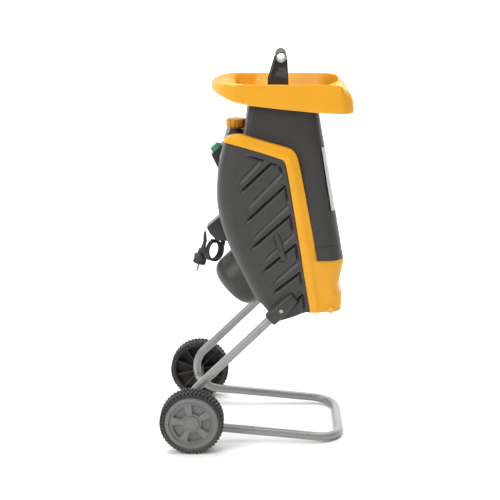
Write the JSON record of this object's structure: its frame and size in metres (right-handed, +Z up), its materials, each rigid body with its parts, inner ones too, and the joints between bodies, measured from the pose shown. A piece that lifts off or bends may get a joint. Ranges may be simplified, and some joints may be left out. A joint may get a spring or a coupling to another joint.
{
  "type": "wood chipper",
  "caption": "Wheeled electric garden shredder: open orange hopper on a charcoal tower and ribbed housing, inclined disc cutter, grey tube frame, forward-tipping top, short looped mains lead.",
  "frame": {"origin": "on the floor, under the middle of the box around the object without its lead", "axes": "+X towards the discharge side, +Y to the machine's left, +Z up"},
  "size_m": [0.4764, 0.46, 0.981],
  "materials": {
    "frame_paint": "silver-grey powder coat, satin",
    "zinc_steel": "zinc plated, dull",
    "tyre_rubber": "hard black tread plastic, matt",
    "wheel_grey": "moulded grey plastic, satin",
    "charcoal_plastic": "fine spark-eroded grain, matt",
    "chamber_steel": "dark grey painted steel",
    "cast_alloy": "die-cast, bead blasted",
    "lamination_steel": "stacked laminations",
    "copper_wire": "enamelled copper wire",
    "bearing_steel": "ground",
    "capacitor_white": "moulded can",
    "black_plastic": "moulded, fine grain",
    "knife_steel": "hardened and ground",
    "green_plastic": "moulded",
    "red_plastic": "moulded",
    "black_rubber": "matt",
    "plated_pins": "nickel plated",
    "orange_plastic": "moulded, satin",
    "knob_orange": "moulded, satin",
    "handle_alloy": "drawn tube, satin",
    "label_grey": "blank plate, satin"
  },
  "bodies": {
    "root": {"frame_tube": "frame_paint", "axle_bolts": "zinc_steel", "axle_nuts": "zinc_steel", "leg_screws": "zinc_steel", "right_housing_shell": "charcoal_plastic", "left_housing_shell": "charcoal_plastic", "housing_screws": "zinc_steel", "motor_cover": "charcoal_plastic", "cutter_chamber": "chamber_steel", "motor_front_flange": "cast_alloy", "motor_casing": "chamber_steel", "motor_rear_flange": "cast_alloy", "stator_core": "lamination_steel", "stator_windings": "copper_wire", "front_bearing": "bearing_steel", "rear_bearing": "bearing_steel", "run_capacitor": "capacitor_white", "switch_box": "black_plastic", "interlock_switch": "black_plastic", "cord_inlet_box": "black_plastic", "cord_relief": "black_rubber", "power_cord": "black_rubber", "cord_tie": "black_plastic", "plug_body": "black_rubber", "plug_pins": "plated_pins", "hinge_pins": "zinc_steel"},
    "right_wheel": {"right_tyre": "tyre_rubber", "right_wheel_disc": "wheel_grey", "right_hub_cap": "wheel_grey"},
    "left_wheel": {"left_tyre": "tyre_rubber", "left_wheel_disc": "wheel_grey", "left_hub_cap": "wheel_grey"},
    "rotor": {"motor_shaft": "bearing_steel", "rotor_core": "lamination_steel", "cooling_fan": "black_plastic", "cutting_disc": "chamber_steel", "cutting_knives": "knife_steel", "knife_screws": "zinc_steel", "disc_bolt": "zinc_steel"},
    "top": {"tower_shell": "charcoal_plastic", "front_trim": "orange_plastic", "feed_chute": "black_plastic", "counter_blade": "knife_steel", "hopper": "orange_plastic", "hopper_screws": "zinc_steel", "handle_bar": "handle_alloy", "right_handle_bracket": "black_plastic", "left_handle_bracket": "black_plastic", "label_plate": "label_grey"},
    "washer": {"knob_washer": "zinc_steel"},
    "knob": {"locking_knob": "knob_orange", "knob_stud": "zinc_steel"},
    "start": {"start_button": "green_plastic"},
    "stop": {"stop_button": "red_plastic"}
  },
  "joints": [
    {"name": "right_wheel_spin", "type": "hinge", "parent": "root", "child": "right_wheel", "pos_m": [-0.15825, -0.2055, 0.08], "axis": [0, 1, 0], "continuous": true},
    {"name": "left_wheel_spin", "type": "hinge", "parent": "root", "child": "left_wheel", "pos_m": [-0.15825, 0.2055, 0.08], "axis": [0, 1, 0], "continuous": true},
    {"name": "cutter_spin", "type": "hinge", "parent": "root", "child": "rotor", "pos_m": [0.05, 0, 0.482], "axis": [0.7145, 0, 0.6997], "continuous": true},
    {"name": "top_tip", "type": "hinge", "parent": "root", "child": "top", "pos_m": [0.187, 0, 0.35], "axis": [0, 1, 0], "range_deg": [0, 60]},
    {"name": "knob_lift", "type": "slide", "parent": "top", "child": "washer", "axis": [0, 0, 1], "range_m": [0, 0.0031]},
    {"name": "knob_turn", "type": "hinge", "parent": "washer", "child": "knob", "pos_m": [-0.051, 0, 0.79], "axis": [0, 0, 1], "range_deg": [0, 720]},
    {"name": "start_press", "type": "slide", "parent": "root", "child": "start", "axis": [0.682, 0, -0.7314], "range_m": [0, 0.0035], "stiffness_N_per_m": 900},
    {"name": "stop_press", "type": "slide", "parent": "root", "child": "stop", "axis": [0.682, 0, -0.7314], "range_m": [0, 0.0035], "stiffness_N_per_m": 900}
  ],
  "couplings": [
    {"joint": "knob_lift", "follows": "knob_turn", "m_per_rad": 0.00023873}
  ]
}
